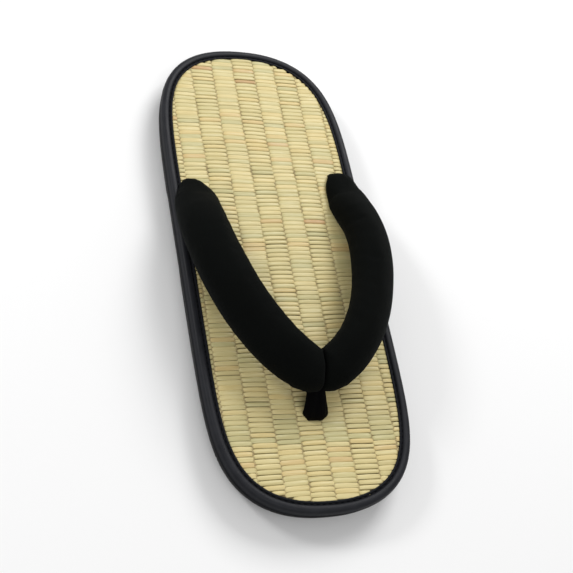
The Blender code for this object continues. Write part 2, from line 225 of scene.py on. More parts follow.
# %% Camera
IMAGE_SIDE = 573
SENSOR = 36.0
PHOTO_FOCAL = 845.3
PHOTO_MIDDLE = 286.5
SANDAL_MIDDLE = (386.0, 285.0)
CLOSER = 1.267
NEAREST = 0.01
PHOTO_PLACE = Vector((-0.19119, -0.24733, 0.43986))
PHOTO_RIGHT = Vector((0.96660, -0.12417, 0.22423))
PHOTO_DOWN = Vector((-0.00237, -0.87912, -0.47658))


def set_camera():
    photo_forward = PHOTO_RIGHT.cross(PHOTO_DOWN)
    aim = (
        photo_forward * PHOTO_FOCAL
        + PHOTO_RIGHT * (SANDAL_MIDDLE[0] - PHOTO_MIDDLE)
        + PHOTO_DOWN * (SANDAL_MIDDLE[1] - PHOTO_MIDDLE)
    ).normalized()
    right = (PHOTO_RIGHT - aim * PHOTO_RIGHT.dot(aim)).normalized()
    down = aim.cross(right)
    data = bpy.data.cameras.new("camera")
    data.sensor_width = SENSOR
    data.lens = PHOTO_FOCAL * CLOSER * SENSOR / IMAGE_SIDE
    data.clip_start = NEAREST
    camera = bpy.data.objects.new("camera", data)
    bpy.context.scene.collection.objects.link(camera)
    turn = Matrix((right, -down, -aim)).transposed()
    camera.matrix_world = Matrix.Translation(PHOTO_PLACE) @ turn.to_4x4()
    bpy.context.scene.camera = camera
    print("camera lens", round(data.lens, 1), "mm")


set_camera()

# %% [markdown]
# The photograph was lit by large soft lamps from above and behind, on white. Area lamps about as wide as the
# sandal is long, or wider, give the same soft shadows, and the smallest one leaves the long streaks on the
# tape. A pale world fills what the lamps do not reach.

# %% Lights, world and floor
LAMPS = [
    {"name": "key_lamp", "place": (0.42, 0.60, 0.75), "size": 0.50, "watts": 6.4},
    {"name": "streak_lamp", "place": (-0.75, 0.45, 0.65), "size": 0.22, "watts": 3.4},
    {"name": "front_lamp", "place": (-0.10, -0.70, 1.10), "size": 0.70, "watts": 2.8},
]
LAMPS_AIM = Vector((0.0, 0.0, 0.01))
FILL_LIGHT = 0.47
FLOOR_HALF = 3.0
FLOOR_SHADE = 0.88


def add_lamp(name, place, size, watts):
    data = bpy.data.lights.new(name, "AREA")
    data.shape = "SQUARE"
    data.size = size
    data.energy = watts
    lamp = bpy.data.objects.new(name, data)
    bpy.context.scene.collection.objects.link(lamp)
    lamp.location = place
    lamp.rotation_mode = "QUATERNION"
    lamp.rotation_quaternion = (LAMPS_AIM - Vector(place)).to_track_quat("-Z", "Y")


for lamp in LAMPS:
    add_lamp(**lamp)

world = bpy.data.worlds.new("pale_world")
world.use_nodes = True
background = world.node_tree.nodes["Background"]
background.inputs["Color"].default_value = (1.0, 1.0, 1.0, 1.0)
background.inputs["Strength"].default_value = FILL_LIGHT
bpy.context.scene.world = world
bpy.context.scene.view_settings.view_transform = "Standard"

corners = [(x * FLOOR_HALF, y * FLOOR_HALF, 0.0) for x, y in ((-1, -1), (1, -1), (1, 1), (-1, 1))]
floor = bpy.data.objects.new("floor", mesh_from("floor", corners, [[[0, 1, 2, 3]]]))
bpy.context.scene.collection.objects.link(floor)
floor_paint = bpy.data.materials.new("floor_paint")
floor_paint.use_nodes = True
paint = floor_paint.node_tree.nodes["Principled BSDF"].inputs
paint["Base Color"].default_value = (FLOOR_SHADE, FLOOR_SHADE, FLOOR_SHADE, 1.0)
paint["Roughness"].default_value = 0.85
floor.data.materials.append(floor_paint)
print("lamps", len(LAMPS))

# %% [markdown]
# Every material is a small graph of nodes that ends in one Principled shader. A short helper adds a node,
# sets its sockets and joins its inputs, so that a graph reads like a recipe. Patterns are placed by object
# coordinates in metres, so a scale of 1000 means one step a millimetre.

# %% Helpers that make materials
COLOUR_A, COLOUR_B, COLOUR_OUT = 6, 7, 2


class Recipe:
    """A material under construction: each call adds one node and gives back its first output."""

    def __init__(self, name, colour, roughness):
        self.material = bpy.data.materials.new(name)
        self.material.use_nodes = True
        self.tree = self.material.node_tree
        self.shader = self.tree.nodes["Principled BSDF"]
        self.shader.inputs["Base Color"].default_value = (*colour, 1.0)
        self.shader.inputs["Roughness"].default_value = roughness

    def join(self, value, socket):
        if hasattr(value, "is_output"):
            self.tree.links.new(value, socket)
        else:
            socket.default_value = value

    def node(self, kind, inputs=None, output=0, **settings):
        made = self.tree.nodes.new(kind)
        for key, value in settings.items():
            setattr(made, key, value)
        for key, value in (inputs or {}).items():
            self.join(value, made.inputs[key])
        return made.outputs[output]

    def place(self, scale=(1.0, 1.0, 1.0)):
        spot = self.node("ShaderNodeTexCoord", output="Object")
        return self.node("ShaderNodeMapping", {"Vector": spot, "Scale": scale})

    def named(self, attribute, output="Fac"):
        return self.node("ShaderNodeAttribute", output=output, attribute_name=attribute)

    def noise(self, place, scale, detail=3.0, roughness=0.5):
        inputs = {"Vector": place, "Scale": scale, "Detail": detail, "Roughness": roughness}
        return self.node("ShaderNodeTexNoise", inputs)

    def span(self, value, low, high, to_low=0.0, to_high=1.0):
        inputs = {"Value": value, "From Min": low, "From Max": high, "To Min": to_low, "To Max": to_high}
        return self.node("ShaderNodeMapRange", inputs)

    def maths(self, operation, first, second):
        return self.node("ShaderNodeMath", {0: first, 1: second}, operation=operation)

    def ramp(self, value, stops):
        made = self.tree.nodes.new("ShaderNodeValToRGB")
        elements = made.color_ramp.elements
        while len(elements) < len(stops):
            elements.new(0.5)
        for element, (position, colour) in zip(elements, stops):
            element.position = position
            element.color = (*colour, 1.0)
        self.join(value, made.inputs["Fac"])
        return made.outputs["Color"]

    def mix(self, share, first, second):
        first, second = (value if hasattr(value, "is_output") else (*value, 1.0) for value in (first, second))
        inputs = {0: share, COLOUR_A: first, COLOUR_B: second}
        return self.node("ShaderNodeMix", inputs, output=COLOUR_OUT, data_type="RGBA")

    def bump(self, height, distance, strength, below=None):
        inputs = {"Height": height, "Distance": distance, "Strength": strength}
        if below is not None:
            inputs["Normal"] = below
        return self.node("ShaderNodeBump", inputs)

    def finish(self, colour, roughness, normal, **sockets):
        sockets.update(Base_Color=colour, Roughness=roughness, Normal=normal)
        for name, value in sockets.items():
            if value is not None:
                self.join(value, self.shader.inputs[name.replace("_", " ")])
        return self.material


# %% [markdown]
# The sole is moulded black rubber. Fine pebbling from the mould shows as bump, a little grey dust lies on it
# in specks, and some patches are slightly glossier than the rest.

# %% Rubber finish


def rubber_finish():
    recipe = Recipe("sole_rubber", (0.018, 0.018, 0.019), 0.6)
    place = recipe.place()
    broad = recipe.noise(place, 45.0)
    pebble = recipe.noise(place, 1700.0, detail=2.0)
    dust = recipe.span(recipe.noise(place, 160.0, detail=5.0), 0.52, 0.75)
    shade = recipe.mix(broad, (0.006, 0.006, 0.007), (0.011, 0.011, 0.012))
    shade = recipe.mix(recipe.maths("MULTIPLY", dust, 0.22), shade, (0.045, 0.042, 0.038))
    gloss = recipe.span(broad, 0.3, 0.7, 0.55, 0.72)
    return recipe.finish(shade, gloss, recipe.bump(pebble, 0.00012, 0.6), Specular_IOR_Level=0.35)


RUBBER = rubber_finish()

# %% [markdown]
# The sole is one moulding: a wall with two ribs and a lip, and a tread of cross grooves under the heel and
# the forefoot. These functions say how high the underside lies, where the grooves are, and how far the wall
# stands out at each height.

# %% Shape of the sole
TOE_SPRING = 0.0045
SPRING_START = 0.165
SPRING_POWER = 1.2
WAIST_RISE = 0.0010
WAIST_CENTRE = 0.075
WAIST_HALF_LENGTH = 0.105
WAIST_FLAT_SHARE = 0.72
TREAD_DEPTH = 0.0014
TREAD_GROOVE = 0.0026
TREAD_MARGIN = 0.0095
TREAD_ZONES = [{"grooves": 11, "start": -0.405, "end": -0.060}, {"grooves": 7, "start": 0.205, "end": 0.405}]
GROOVE_SLOPE = 0.00014
SOLE_STEPS = 260
STEPS_APART = 0.0004
SHARP_FROM = math.radians(38)
WALL_FOOT = {"out": 0.36, "round": 0.23, "high": 0.11}
WALL_RIBS = [{"low": 0.255, "top": 0.335}, {"low": 0.515, "top": 0.595}]
RIB_OUT = 0.08
RIB_SLOPE = 0.03
WALL_LIP = {"out": 0.31, "low": 0.745, "top": 0.795}
LIP_ROUND = {"out": 0.07, "low": 0.945, "top": 1.0}


def ground_line(y):
    """Height of the underside: flat under heel and forefoot, raised at the waist and at the toe."""
    along = y / SOLE_LENGTH
    spring = np.maximum(0.0, (-along - SPRING_START) / (0.5 - SPRING_START)) ** SPRING_POWER
    away = np.abs(along - WAIST_CENTRE) / WAIST_HALF_LENGTH
    return TOE_SPRING * spring + WAIST_RISE * (1 - smooth_step(WAIST_FLAT_SHARE, 1.0, away))


def groove_middles():
    return np.concatenate([
        SOLE_LENGTH * np.linspace(zone["start"], zone["end"], zone["grooves"]) for zone in TREAD_ZONES
    ])


def rung_distances():
    """Distances down the right side: even steps, and both edges of each groove wall."""
    half = EDGE_LENGTH / 2
    even = np.linspace(0, half, SOLE_STEPS + 1)
    right_y = OUTLINE[: DENSE_STEPS + 1, 1]
    walls = [
        np.interp(middle + side * (TREAD_GROOVE / 2 + slope), right_y, TRAVEL[: DENSE_STEPS + 1])
        for middle in groove_middles() for side in (-1, 1) for slope in (-GROOVE_SLOPE, GROOVE_SLOPE)
    ]
    clear = [d for d in even if np.min(np.abs(np.array(walls) - d)) > STEPS_APART]
    return np.sort(np.concatenate([clear, walls]))


def wall_profile():
    """The sole's wall from the ground up: how far out (share of RIM) at each height (share of the wall)."""
    foot, lip = [0, 0.008, 0.02, 0.04, 0.07, 0.11], [0.965, 0.985, 0.996, 1.0]
    high = np.concatenate([foot, np.linspace(0.15, 0.95, 49), lip])
    rise = np.clip(high / WALL_FOOT["high"], 0, 1)
    out = WALL_FOOT["out"] + WALL_FOOT["round"] * np.sqrt(np.clip(1 - (1 - rise) ** 2, 0, 1))
    for rib in WALL_RIBS:
        below = smooth_step(rib["low"] - RIB_SLOPE, rib["low"], high)
        out += RIB_OUT * (below - smooth_step(rib["top"], rib["top"] + RIB_SLOPE, high))
    for sign, part in ((1, WALL_LIP), (-1, LIP_ROUND)):
        out += sign * part["out"] * smooth_step(part["low"], part["top"], high)
    return out, high


print("grooves", len(groove_middles()), "in the tread,", len(rung_distances()), "rungs from toe to heel")

# %% [markdown]
# A Boolean would cut the grooves too, but here the underside is one grid whose rows are placed just before
# and after each groove wall, which keeps the edges crisp and the mesh clean.

# %% Rubber sole


def ladder(ring, count):
    """Fills a ring whose two sides face each other with rungs from toe to heel."""
    i = np.arange(count // 2)
    back = ring[(count - i) % count]
    return np.stack([ring[i], ring[i + 1], ring[(count - i - 1) % count], back], axis=-1)[1:-1]


def tread(rim, down, count, first):
    """The underside as a grid of rungs: eight points across each, with the grooves pressed upwards."""
    width, y = rim[1:len(down) - 1, 0], rim[1:len(down) - 1, 1]
    reach = np.maximum(0.35 * width, footbed_half_width(np.clip(2 * y / SOLE_LENGTH, -1, 1)) - TREAD_MARGIN)
    slope = np.minimum(GROOVE_SLOPE, 0.05 * width)
    spans = [reach + slope, reach - slope, reach * 0.6, reach * 0.2]
    across = np.column_stack([-s for s in spans] + spans[::-1])
    inside = np.array([0, 1, 1, 1, 1, 1, 1, 0])
    wide = len(inside)
    pressed = np.zeros(len(y))
    wall = TREAD_GROOVE / 2
    for middle in groove_middles():
        away = np.abs(y - middle)
        pressed = np.maximum(pressed, 1 - smooth_step(wall - GROOVE_SLOPE, wall + GROOVE_SLOPE, away))
    lift = ground_line(y)[:, None] + TREAD_DEPTH * pressed[:, None] * inside[None, :]
    grid = np.stack([across, np.repeat(y[:, None], wide, axis=1), lift], axis=-1)
    inner = wrap(len(y), wide, around=False)[:, ::-1] + first
    i = np.arange(len(y) - 1)
    start, after = first + i * wide, first + (i + 1) * wide
    left = np.stack([count - 1 - i, count - 2 - i, after, start], axis=-1)
    right = np.stack([start + wide - 1, after + wide - 1, i + 2, i + 1], axis=-1)
    return grid.reshape(-1, 3), np.vstack([inner, left, right])


def build_sole():
    down = rung_distances()
    loop = np.concatenate([down, EDGE_LENGTH - down[-2:0:-1]])
    base, outward = edge_places(loop)
    count = len(loop)
    points = []
    for out, high in zip(*wall_profile()):
        place = base + outward * out * RIM
        ground = ground_line(place[:, 1])
        points.append(np.column_stack([place, ground + high * (SOLE_HEIGHT - ground)]))
    rings = len(points)
    faces = [wrap(rings, count)]
    top = np.arange((rings - 1) * count, rings * count)
    faces.append(ladder(top, count))
    under, under_faces = tread(points[0], down, count, rings * count)
    points.append(under)
    faces.append(under_faces)
    mesh = mesh_from("rubber_sole", np.vstack(points), faces)
    add_piece("rubber_sole", mesh, RUBBER, "sole_rubber", "sole")
    mesh.set_sharp_from_angle(angle=SHARP_FROM)


build_sole()

# %% [markdown]
# The face of the footbed is dried rush. Each stem has its own shade of straw, a few are greenish, tan or
# brown, and fine grooves run along it. Every stem carries its own tone as a number on its points, so that
# one material serves them all. A second number is painted shade: it darkens each stem where it dives
# under its neighbours and on the underside of its section.

# %% Rush and board finishes


def rush_finish():
    recipe = Recipe("woven_rush", (0.62, 0.53, 0.27), 0.5)
    tone = recipe.named("stem_tone")
    dive_shade = recipe.named("stem_dive_shade")
    straw = recipe.ramp(tone, [
        (0.00, (0.50, 0.455, 0.22)),
        (0.14, (0.55, 0.485, 0.23)),
        (0.35, (0.58, 0.50, 0.235)),
        (0.62, (0.645, 0.545, 0.26)),
        (0.80, (0.64, 0.515, 0.225)),
        (0.91, (0.62, 0.475, 0.21)),
        (0.97, (0.57, 0.41, 0.18)),
        (1.00, (0.51, 0.32, 0.14)),
    ])
    streaks = recipe.noise(recipe.place((75.0, 1500.0, 1500.0)), 1.0, detail=5.0, roughness=0.6)
    patches = recipe.noise(recipe.place((60.0, 300.0, 60.0)), 1.0, detail=3.0)
    straw = recipe.mix(recipe.span(streaks, 0.50, 0.72, 0.0, 0.50), straw, (0.44, 0.34, 0.14))
    straw = recipe.mix(recipe.span(streaks, 0.46, 0.28, 0.0, 0.55), straw, (0.74, 0.67, 0.40))
    straw = recipe.mix(recipe.span(patches, 0.58, 0.78, 0.0, 0.30), straw, (0.68, 0.61, 0.36))
    # painted shade: dark brown is mixed in where the stems dive and on their undersides
    straw = recipe.mix(recipe.span(dive_shade, 0.30, 0.85, 0.0, 0.80), straw, (0.17, 0.115, 0.05))
    gloss = recipe.span(streaks, 0.3, 0.7, 0.40, 0.58)
    normal = recipe.bump(streaks, 0.00010, 0.7)
    return recipe.finish(straw, gloss, normal, Specular_IOR_Level=0.42)


def board_finish():
    recipe = Recipe("mat_board", (0.20, 0.15, 0.07), 0.85)
    fibres = recipe.noise(recipe.place((400.0, 900.0, 400.0)), 1.0, detail=5.0)
    shade = recipe.ramp(fibres, [(0.3, (0.13, 0.09, 0.04)), (0.7, (0.26, 0.19, 0.09))])
    return recipe.finish(shade, None, recipe.bump(fibres, 0.0002, 0.5))


def warp_finish():
    recipe = Recipe("warp_thread", (0.42, 0.33, 0.17), 0.8)
    fuzz = recipe.noise(recipe.place(), 2600.0, detail=2.0)
    shade = recipe.mix(fuzz, (0.30, 0.22, 0.10), (0.50, 0.40, 0.22))
    return recipe.finish(shade, None, recipe.bump(fuzz, 0.0001, 0.5))


RUSH = rush_finish()
BOARD = board_finish()
WARP = warp_finish()

# %% [markdown]
# The rush is woven like the face of a tatami mat. Warp threads run from toe to heel, 12 mm apart, and each
# stem goes over one column and under the next. The next stem does the opposite, so the ridges of
# neighbouring columns sit half a step apart. A picture of a weave would look flat from the side. Here each
# stem is a real flattened tube that rises and dives, so most light and shadow come by themselves, and some
# painted shade is added where the stems dive.

# %% Sizes of the weave
COLUMN = 0.0118
RIDGE = 0.00245
COLUMN_LEAN = 0.0105
COLUMN_STRAIGHT_AT = 0.10
STEM_RISE = 0.00038
STEM_HALF_HEIGHT = 0.00042
STEM_FLOAT_HALF = 0.00122
STEM_CROSS_HALF = 0.00060
STEEPNESS = 4.2
RIDGED_FULLNESS = 0.975
FLAT_FULLNESS = 1.005
RIDGED_SQUARENESS = 2.5
FLAT_SQUARENESS = 3.6
HEEL_PRESSING = 0.062
CROSSING_SCATTER = 0.00016
STEM_INSET = 0.0004
STEM_TUCK = 0.0007
STEM_DROP = 0.0009
END_AT = 0.08
EDGE_ROUND = 0.0026
EDGE_SINK = 0.0004
END_SINK = 1.6
FLOATS = 26
MIDDLE_FLOAT = 12
WEAVE_LEVEL = FOOTBED_TOP - STEM_RISE - STEM_HALF_HEIGHT
IN_COLUMN = np.array([0.0, 0.045, 0.10, 0.20, 0.5, 0.80, 0.90, 0.955])
STEM_SECTION = np.radians([8, 32, 62, 90, 118, 148, 172, 225, 315])
PRESSED_SPOTS = [
    {"x": 0.0014, "y": -0.0832, "reach": 0.0065, "depth": 0.0005},
    {"x": 0.0400, "y": 0.0478, "reach": 0.0065, "depth": 0.0006},
    {"x": -0.0385, "y": 0.0420, "reach": 0.0065, "depth": 0.0006},
]
stem_dice = np.random.default_rng(71)


def column_drift(y):
    """The columns lean a little to one side towards the toe."""
    return -COLUMN_LEAN * (COLUMN_STRAIGHT_AT - y)


def pressed_depth(x, y):
    """How far the weave is pushed down round the toe loop and the ends of the straps."""
    depth = 0.0
    for spot in PRESSED_SPOTS:
        away = ((x - spot["x"]) ** 2 + (y - spot["y"]) ** 2) / spot["reach"] ** 2
        depth = depth + spot["depth"] * np.exp(-0.5 * away)
    return depth


def stem_wander(x, y):
    """Slow waves that neighbouring stems share, because hand-beaten rush is never quite straight."""
    return 0.00030 * np.sin(x / 0.019 + y / 0.031) + 0.00022 * np.sin(x / 0.0083 - y / 0.017 + 1.3)


print("weave", round(COLUMN / MM, 1), "mm columns, middle of the stems at", round(WEAVE_LEVEL / MM, 2), "mm")

# %% [markdown]
# One stem is a row of oval rings across the mat. Its height follows a flattened wave, its breadth grows
# where it floats and shrinks where it dives, and chance makes each float a little fuller or thinner. Both
# ends drop below the tape's edge, where they are cut off on the real mat.

# %% One stem


def stem_tone():
    """Mostly pale straw; one stem in eight is greenish, one in nine tan and one in seventy brown."""
    draw = stem_dice.random()
    if draw < 0.13:
        return stem_dice.uniform(0.0, 0.18)
    if draw < 0.87:
        return stem_dice.normal(0.50, 0.12)
    if draw < 0.985:
        return stem_dice.uniform(0.72, 0.90)
    return stem_dice.uniform(0.93, 1.0)


def rush_stem(number, y):
    """One stem: its rings of points, its tone and the painted shade of each point, darker where it dives."""
    wide_at = math.copysign(max(0.0, abs(y) - END_AT * STEM_FLOAT_HALF), y)
    reach = float(footbed_half_width(np.clip(2 * wide_at / BED_LENGTH, -1, 1))) + STEM_TUCK
    drift = column_drift(y) + CROSSING_SCATTER * stem_dice.normal()
    first = math.floor((-reach - drift) / COLUMN) - 1
    columns = np.arange(first, -first + 2)
    x = (drift + (columns[:, None] + 0.5 + IN_COLUMN[None, :]) * COLUMN).ravel()
    brink = reach - STEM_DROP
    x = np.concatenate([[-reach, -brink], x[np.abs(x) < brink - 0.0002], [brink, reach]])
    side = 1 if number % 2 == 0 else -1
    lift = np.tanh(STEEPNESS * side * np.cos(math.pi * (x - drift) / COLUMN))
    place = (x - drift) / COLUMN + 0.5
    floats = np.floor(place).astype(int) + MIDDLE_FLOAT
    along = place - np.floor(place) - 0.5
    ridged = 1.0 if side > 0 else 0.0
    usual = RIDGED_FULLNESS if side > 0 else FLAT_FULLNESS
    usual += HEEL_PRESSING * float(smooth_step(-0.07, 0.10, y))
    fullness = np.clip(stem_dice.normal(usual, 0.025 + 0.02 * ridged), 0.80, 1.10)
    fullness = fullness * np.clip(stem_dice.normal(1.0, 0.045, FLOATS), 0.84, 1.06)[floats]
    fullness = fullness * (1.01 - (0.34 + 0.10 * ridged) * along**2)
    height = STEM_HALF_HEIGHT * (0.85 + 0.20 * ridged + 0.06 * stem_dice.normal(0, 1, FLOATS)[floats])
    half = STEM_CROSS_HALF + (STEM_FLOAT_HALF * fullness - STEM_CROSS_HALF) * smooth_step(-0.5, 0.35, lift)
    inside = reach - np.abs(x)
    edge = smooth_step(EDGE_ROUND, 0.0, inside) + END_SINK * smooth_step(STEM_DROP, 0.0, inside)
    crown = 0.00010 * (1 - 4 * along**2) * (0.5 + 0.5 * lift)
    level = WEAVE_LEVEL + STEM_RISE * lift + crown - pressed_depth(x, y) - EDGE_SINK * edge
    middle = y + stem_wander(x, y)
    squareness = RIDGED_SQUARENESS if side > 0 else FLAT_SQUARENESS
    rings = oval_rings(np.column_stack([x, middle, level]), BACK, UP, half, height, STEM_SECTION, squareness)
    tone = np.clip(stem_tone() + 0.09 * stem_dice.normal(0, 1, FLOATS)[floats], 0, 1)
    # painted shade share: it grows as the stem dives and towards the underside of its section
    dive_shade = np.clip(0.5 - 0.5 * lift[:, None] + 0.28 * (1 - oval(STEM_SECTION, squareness)[1]), 0, 1)
    return rings, np.repeat(tone, len(STEM_SECTION)), dive_shade.ravel()


# %% [markdown]
# Every second stem goes into a second piece, which keeps each mesh small.

# %% All stems


def build_stems():
    step = RIDGE / 2
    last = BED_LENGTH / 2 - STEM_INSET
    ys = np.arange(-last, last, step)
    for start, name in ((0, "rush_stems_even"), (1, "rush_stems_odd")):
        tubes, tones, dive_shades = zip(*[rush_stem(number, ys[number]) for number in range(start, len(ys), 2)])
        mesh = tubes_mesh(name, tubes, flipped=True)
        put_on(mesh, "stem_tone", np.concatenate(tones))
        put_on(mesh, "stem_dive_shade", np.concatenate(dive_shades))
        add_piece(name, mesh, RUSH, "woven_rush", "rush_mat")
    print("stems", len(ys), "a step of", round(step / MM, 2), "mm apart")


build_stems()

# %% [markdown]
# Under the rush lies the board that stiffens the footbed. It shows only as darkness between the stems. The
# warp is hemp thread: two strands along each column boundary, woven over and under the stems, which show as
# small dots. They are thin tubes that follow the stems' own rhythm.

# %% Board and warp threads
BOARD_TOP = WEAVE_LEVEL - STEM_RISE - STEM_HALF_HEIGHT + 0.00015
BOARD_STEPS = 220
WARP_HALF = 0.00020
WARP_APART = 0.00034
WARP_SWING = 0.00034
WARP_UP = 0.00012
WARP_POINTS = 5
WARP_COLUMNS = range(-5, 5)
SHORTEST_WARP = 20
BOARD_SIDE = 0.0002
BOARD_EDGE = 0.0010
BOARD_ROUND = 0.0006


def build_board():
    base, outward = edge_places(np.linspace(0, EDGE_LENGTH, BOARD_STEPS, endpoint=False))
    foot_z = SOLE_HEIGHT + GAP
    rows = [
        (-BOARD_EDGE, foot_z), (-BOARD_SIDE, foot_z + BOARD_ROUND),
        (-BOARD_SIDE, BOARD_TOP - BOARD_ROUND), (-BOARD_EDGE, BOARD_TOP),
    ]
    points = np.vstack([np.column_stack([base + outward * out, np.full(BOARD_STEPS, z)]) for out, z in rows])
    foot = np.arange(BOARD_STEPS)
    top = foot + 3 * BOARD_STEPS
    heel = BOARD_STEPS // 2
    tips = [
        [foot[1], foot[0], foot[-1]], [top[-1], top[0], top[1]],
        [foot[heel + 1], foot[heel - 1], foot[heel]], [top[heel - 1], top[heel], top[heel + 1]],
    ]
    faces = [wrap(4, BOARD_STEPS), ladder(top, BOARD_STEPS), ladder(foot, BOARD_STEPS)[:, ::-1], tips]
    add_piece("mat_board", mesh_from("mat_board", points, faces), BOARD, "woven_rush", "rush_mat")


def warp_thread(column, strand):
    """One hemp strand along a column boundary, from toe to heel."""
    step = RIDGE / 8
    y = np.arange(-BED_LENGTH / 2 + 0.001, BED_LENGTH / 2 - 0.001, step)
    x = column_drift(y) + (column + 0.5) * COLUMN + strand * WARP_APART
    x = x + 0.00008 * np.sin(y / 0.0041 + column)
    keep = np.abs(x) < footbed_half_width(2 * y / BED_LENGTH) - BOARD_SIDE
    x, y = x[keep], y[keep]
    start = -(BED_LENGTH / 2 - STEM_INSET)
    swing = strand * np.cos(math.pi * (y - start) / (RIDGE / 2))
    z = WEAVE_LEVEL + WARP_UP + WARP_SWING * swing - pressed_depth(x, y)
    angles = np.radians(np.arange(0, 360, 360 // WARP_POINTS))
    return oval_rings(np.column_stack([x, y, z]), RIGHT, UP, WARP_HALF, WARP_HALF, angles)


def build_warp():
    threads = [warp_thread(column, strand) for column in WARP_COLUMNS for strand in (-1, 1)]
    mesh = tubes_mesh("warp_threads", [rings for rings in threads if len(rings) >= SHORTEST_WARP])
    add_piece("warp_threads", mesh, WARP, "woven_rush", "rush_mat")


build_board()
build_warp()

# %% [markdown]
# The edge is bound with black coated tape. It is folded over the mat's edge, sewn down in a furrow, and
# bulges over a filler cord outside the seam, where it catches a long soft highlight. The coating has a fine
# grain and a satin gloss. Its top band and hem are painted paler as painted light, with a painted highlight
# in patches along its crest.

# %% Tape and thread finishes


def tape_finish():
    recipe = Recipe("binding_tape", (0.022, 0.023, 0.026), 0.42)
    place = recipe.place()
    grain = recipe.node("ShaderNodeTexVoronoi", {"Vector": place, "Scale": 2100.0})
    broad = recipe.noise(place, 130.0, detail=4.0)
    lit_share = recipe.named("tape_lit_share")
    crest_highlight = recipe.maths("MULTIPLY", recipe.span(broad, 0.40, 0.75), lit_share)
    shade = recipe.mix(broad, (0.0045, 0.0050, 0.0066), (0.0075, 0.0082, 0.0105))
    # painted light: the top band and hem of the tape are painted paler, and patches along the crest get a
    # painted highlight
    shade = recipe.mix(recipe.span(lit_share, 0.0, 1.0, 0.0, 0.9), shade, (0.0120, 0.0128, 0.0160))
    shade = recipe.mix(recipe.maths("MULTIPLY", crest_highlight, 0.35), shade, (0.028, 0.029, 0.035))
    dull = recipe.span(broad, 0.3, 0.7, 0.0, 0.12)
    gloss = recipe.maths("ADD", dull, recipe.span(lit_share, 0.0, 0.8, 0.62, 0.42))
    normal = recipe.bump(grain, 0.00008, 0.55)
    normal = recipe.bump(broad, 0.0004, 0.5, below=normal)
    return recipe.finish(shade, gloss, normal, Specular_IOR_Level=recipe.span(lit_share, 0.0, 1.0, 0.02, 0.19))


def thread_finish():
    recipe = Recipe("sewing_thread", (0.006, 0.006, 0.007), 0.7)
    twist = recipe.noise(recipe.place(), 5200.0, detail=1.0)
    shade = recipe.mix(twist, (0.004, 0.004, 0.005), (0.009, 0.009, 0.010))
    return recipe.finish(shade, None, recipe.bump(twist, 0.0001, 0.6), Specular_IOR_Level=0.2)


TAPE = tape_finish()
THREAD = thread_finish()

# %% [markdown]
# The tape is one profile carried round the outline. The profile is a short table of offsets and heights in
# millimetres, with its rows close together where it bends. While it is carried round, the seam pulls it in
# between stitches, and in the corners the tape puckers, because its inner edge has less way to go than its
# outer one.

# %% Edge binding
TAPE_STEPS = 960
STITCH_STEP = 0.0029
TAPE_COLUMNS = ("out", "up")
TAPE_ROWS = [
    (0.20, 0.10), (0.17, 2.60), (0.02, 5.30), (-0.14, 5.62), (-0.12, 5.88), (0.05, 6.04),
    (0.35, 6.09), (0.70, 6.03), (0.95, 5.80), (1.12, 5.46), (1.28, 5.30), (1.45, 5.44),
    (1.68, 5.86), (2.08, 6.22), (2.60, 6.40), (3.25, 6.47), (3.92, 6.43), (4.50, 6.24),
    (4.98, 5.88), (5.36, 5.32), (5.62, 4.62), (5.76, 3.85), (5.80, 3.00), (5.72, 2.15),
    (5.54, 1.35), (5.27, 0.65), (4.92, 0.15), (4.45, 0.00), (2.00, 0.00), (0.60, 0.00),
]
HEM = {"out": 0.3, "reach": 0.55, "above": 5.2}
SEAM = {"out": 1.28, "reach": 0.30, "above": 5.2}
BULGE = {"out": 3.4, "reach": 1.6, "above": 4.0}
TIGHT_TURN = 30.0


def corner_share(distances):
    """How strongly the outline turns at these distances: 0 on the straight sides, 1 in the tight corners."""
    step = 0.004
    before = edge_places(distances - step)[1]
    after = edge_places(distances + step)[1]
    turn = np.abs(before[:, 0] * after[:, 1] - before[:, 1] * after[:, 0]) / (2 * step)
    return np.clip(turn / TIGHT_TURN, 0, 1)


def share_of(part, row):
    """How much a row of the profile belongs to its hem, its seam or its bulge."""
    return math.exp(-((row["out"] - part["out"]) / part["reach"]) ** 2) * (row["up"] > part["above"])


def build_tape():
    distances = np.linspace(0, EDGE_LENGTH, TAPE_STEPS, endpoint=False)
    base, outward = edge_places(distances)
    tight = corner_share(distances)
    stitches = round(EDGE_LENGTH / STITCH_STEP)
    beat = 2 * math.pi * stitches * distances / EDGE_LENGTH
    pucker = np.sin(2 * beat + 0.7 * np.sin(distances / 0.011)) * tight
    slow = np.sin(distances / 0.0137) + 0.6 * np.sin(distances / 0.0071 + 2.0)
    points, lit_share = [], []
    for row in (dict(zip(TAPE_COLUMNS, values)) for values in TAPE_ROWS):
        out = np.full(TAPE_STEPS, row["out"] * MM)
        up = np.full(TAPE_STEPS, row["up"] * MM)
        hem, seam, bulge = (share_of(part, row) for part in (HEM, SEAM, BULGE))
        out += hem * (0.00006 * np.cos(beat) + 0.00005 * slow)
        up += hem * (0.00007 * np.cos(beat) + 0.00010 * pucker)
        up -= seam * 0.00007 * (1 - np.cos(beat))
        up += bulge * (0.00005 * slow + 0.00005 * pucker - 0.00004)
        points.append(np.column_stack([base + outward * out[:, None], SOLE_HEIGHT + GAP + up]))
        # painted light share: high on the tape's top band and on its hem, which are painted paler
        band = float(smooth_step(1.40, 2.10, row["out"]) * smooth_step(2.6, 5.0, row["up"]))
        lit_share.append(np.full(TAPE_STEPS, min(1.0, 0.75 * band + 0.25 * bulge + 0.5 * hem)))
    faces = wrap(len(points), TAPE_STEPS, along=True)[:, ::-1]
    mesh = mesh_from("binding_tape", np.vstack(points), [faces])
    put_on(mesh, "tape_lit_share", np.concatenate(lit_share))
    add_piece("binding_tape", mesh, TAPE, "binding_tape", "edge_binding")


build_tape()

